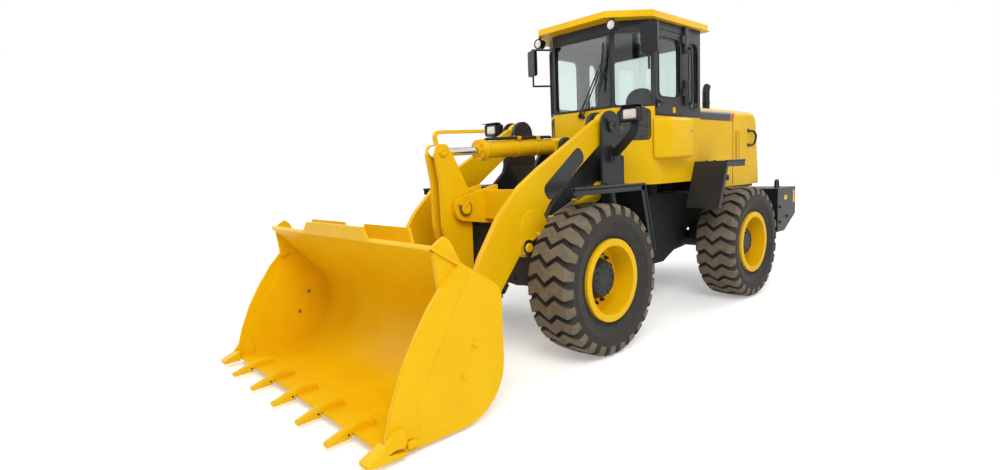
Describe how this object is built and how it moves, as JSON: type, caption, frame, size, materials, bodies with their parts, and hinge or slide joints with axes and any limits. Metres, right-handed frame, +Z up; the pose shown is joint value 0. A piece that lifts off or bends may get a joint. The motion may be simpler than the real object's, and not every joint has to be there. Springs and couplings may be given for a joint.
{
  "type": "articulated wheel loader",
  "caption": "Articulated wheel loader with a lifting boom, tilting toothed bucket, glazed cab, tilting hood and deep-lugged tyres.",
  "frame": {"origin": "middle of the bounding box on the ground", "axes": "+X forward to the bucket, +Y to the driver's left, +Z up"},
  "size_m": [7.1, 2.6, 3.2],
  "materials": {
    "paint_yellow": "gloss enamel, dusty",
    "frame_grey": "satin enamel",
    "chassis_black": "satin enamel",
    "machine_grey": "painted casting",
    "seat_vinyl": "grained vinyl",
    "window_glass": "clear safety glass with a pale green tint",
    "rod_chrome": "hard chrome",
    "pin_steel": "machined steel",
    "tyre_rubber": "dusty rubber"
  },
  "bodies": {
    "rear_chassis": {"rear_frame": "frame_grey", "rear_axle": "chassis_black", "engine": "machine_grey", "gearbox": "machine_grey", "counterweight": "chassis_black", "cab_lower": "paint_yellow", "cab_frame": "frame_grey", "cab_roof": "paint_yellow", "cab_glass": "window_glass", "seat": "seat_vinyl", "steering_column": "chassis_black", "side_box": "paint_yellow", "ladder": "chassis_black", "rear_fenders": "frame_grey", "mirrors": "chassis_black", "roof_lamps": "chassis_black"},
    "hood": {"hood": "paint_yellow", "rear_grille": "chassis_black", "exhaust": "chassis_black"},
    "door_left": {"door_left": "frame_grey", "door_left_glass": "window_glass"},
    "door_right": {"door_right": "frame_grey", "door_right_glass": "window_glass"},
    "front_chassis": {"front_frame": "frame_grey", "front_axle": "chassis_black", "front_fenders": "frame_grey", "headlights": "chassis_black"},
    "boom": {"boom": "paint_yellow", "rocker_pin": "pin_steel"},
    "rocker": {"rocker": "paint_yellow"},
    "bucket": {"bucket": "paint_yellow", "bucket_teeth": "paint_yellow", "bucket_pins": "pin_steel", "link_pin": "pin_steel"},
    "link": {"link": "paint_yellow"},
    "tilt_barrel": {"tilt_barrel": "paint_yellow"},
    "tilt_rod": {"tilt_rod": "rod_chrome", "level_bar": "paint_yellow"},
    "lift_barrel_left": {"lift_barrel_left": "paint_yellow"},
    "lift_rod_left": {"lift_rod_left": "rod_chrome"},
    "steer_barrel_left": {"steer_barrel_left": "paint_yellow"},
    "steer_rod_left": {"steer_rod_left": "rod_chrome"},
    "lift_barrel_right": {"lift_barrel_right": "paint_yellow"},
    "lift_rod_right": {"lift_rod_right": "rod_chrome"},
    "steer_barrel_right": {"steer_barrel_right": "paint_yellow"},
    "steer_rod_right": {"steer_rod_right": "rod_chrome"},
    "wheel_front_left": {"tyre_front_left": "tyre_rubber", "rim_front_left": "paint_yellow"},
    "wheel_front_right": {"tyre_front_right": "tyre_rubber", "rim_front_right": "paint_yellow"},
    "wheel_rear_left": {"tyre_rear_left": "tyre_rubber", "rim_rear_left": "paint_yellow"},
    "wheel_rear_right": {"tyre_rear_right": "tyre_rubber", "rim_rear_right": "paint_yellow"}
  },
  "joints": [
    {"name": "steer", "type": "hinge", "parent": "rear_chassis", "child": "front_chassis", "pos_m": [-0.435, 0, 0.84], "axis": [0, 0, 1], "range_deg": [-35, 35]},
    {"name": "boom_lift", "type": "hinge", "parent": "front_chassis", "child": "boom", "pos_m": [0.38, 0, 2.03], "axis": [0, -1, 0], "range_deg": [-1.5, 87]},
    {"name": "bucket_tilt", "type": "hinge", "parent": "boom", "child": "bucket", "pos_m": [2.18, 0, 0.43], "axis": [0, 1, 0], "range_deg": [-40, 120]},
    {"name": "rocker_tilt", "type": "hinge", "parent": "boom", "child": "rocker", "pos_m": [1.7876, 0, 1.322], "axis": [0, -1, 0], "range_deg": [-8.17, 22.52]},
    {"name": "link_tilt", "type": "hinge", "parent": "bucket", "child": "link", "pos_m": [2.3654, 0, 0.7228], "axis": [0, -1, 0], "range_deg": [-24.58, 71.74]},
    {"name": "tilt_swing", "type": "hinge", "parent": "front_chassis", "child": "tilt_barrel", "pos_m": [0.386, 0, 1.872], "axis": [0, -1, 0], "range_deg": [-2, 84]},
    {"name": "tilt_slide", "type": "slide", "parent": "tilt_barrel", "child": "tilt_rod", "axis": [0.9995, 0, -0.0306], "range_m": [-0.11, 0.05]},
    {"name": "lift_swing_left", "type": "hinge", "parent": "front_chassis", "child": "lift_barrel_left", "pos_m": [0.41, 0.6, 1.42], "axis": [0, -1, 0], "range_deg": [-2, 80]},
    {"name": "lift_slide_left", "type": "slide", "parent": "lift_barrel_left", "child": "lift_rod_left", "axis": [0.9319, 0, -0.3628], "range_m": [-0.02, 0.83]},
    {"name": "steer_swing_left", "type": "hinge", "parent": "rear_chassis", "child": "steer_barrel_left", "pos_m": [-0.96, 0.25, 0.85], "axis": [0, 0, 1], "range_deg": [-11, 11]},
    {"name": "steer_slide_left", "type": "slide", "parent": "steer_barrel_left", "child": "steer_rod_left", "axis": [0.9986, 0.0529, 0], "range_m": [-0.18, 0.18]},
    {"name": "lift_swing_right", "type": "hinge", "parent": "front_chassis", "child": "lift_barrel_right", "pos_m": [0.41, -0.6, 1.42], "axis": [0, -1, 0], "range_deg": [-2, 80]},
    {"name": "lift_slide_right", "type": "slide", "parent": "lift_barrel_right", "child": "lift_rod_right", "axis": [0.9319, 0, -0.3628], "range_m": [-0.02, 0.83]},
    {"name": "steer_swing_right", "type": "hinge", "parent": "rear_chassis", "child": "steer_barrel_right", "pos_m": [-0.96, -0.25, 0.85], "axis": [0, 0, 1], "range_deg": [-11, 11]},
    {"name": "steer_slide_right", "type": "slide", "parent": "steer_barrel_right", "child": "steer_rod_right", "axis": [0.9986, -0.0529, 0], "range_m": [-0.18, 0.18]},
    {"name": "wheel_front_left_spin", "type": "hinge", "parent": "front_chassis", "child": "wheel_front_left", "pos_m": [0.99, 0.925, 0.665], "axis": [0, 1, 0], "continuous": true},
    {"name": "wheel_front_right_spin", "type": "hinge", "parent": "front_chassis", "child": "wheel_front_right", "pos_m": [0.99, -0.925, 0.665], "axis": [0, 1, 0], "continuous": true},
    {"name": "wheel_rear_left_spin", "type": "hinge", "parent": "rear_chassis", "child": "wheel_rear_left", "pos_m": [-1.86, 0.925, 0.665], "axis": [0, 1, 0], "continuous": true},
    {"name": "wheel_rear_right_spin", "type": "hinge", "parent": "rear_chassis", "child": "wheel_rear_right", "pos_m": [-1.86, -0.925, 0.665], "axis": [0, 1, 0], "continuous": true},
    {"name": "door_left_swing", "type": "hinge", "parent": "rear_chassis", "child": "door_left", "pos_m": [-0.957, 0.738, 2.6], "axis": [0, 0, 1], "range_deg": [0, 85]},
    {"name": "door_right_swing", "type": "hinge", "parent": "rear_chassis", "child": "door_right", "pos_m": [-0.957, -0.738, 2.3], "axis": [0, 0, -1], "range_deg": [0, 85]},
    {"name": "hood_tilt", "type": "hinge", "parent": "rear_chassis", "child": "hood", "pos_m": [-1.376, 0, 2.354], "axis": [0, 1, 0], "range_deg": [0, 40]}
  ],
  "couplings": [
    {"joint": "rocker_tilt", "follows": "bucket_tilt", "ratio": 0.1793},
    {"joint": "link_tilt", "follows": "bucket_tilt", "ratio": 0.5895},
    {"joint": "tilt_swing", "follows": "boom_lift", "ratio": 0.953},
    {"joint": "tilt_slide", "follows": "bucket_tilt", "m_per_rad": -0.0358},
    {"joint": "lift_swing_left", "follows": "boom_lift", "ratio": 0.9087},
    {"joint": "lift_slide_left", "follows": "boom_lift", "m_per_rad": 0.535},
    {"joint": "steer_swing_left", "follows": "steer", "ratio": 0.3091},
    {"joint": "steer_slide_left", "follows": "steer", "m_per_rad": -0.2713},
    {"joint": "lift_swing_right", "follows": "boom_lift", "ratio": 0.9087},
    {"joint": "lift_slide_right", "follows": "boom_lift", "m_per_rad": 0.535},
    {"joint": "steer_swing_right", "follows": "steer", "ratio": 0.3091},
    {"joint": "steer_slide_right", "follows": "steer", "m_per_rad": 0.2713}
  ]
}
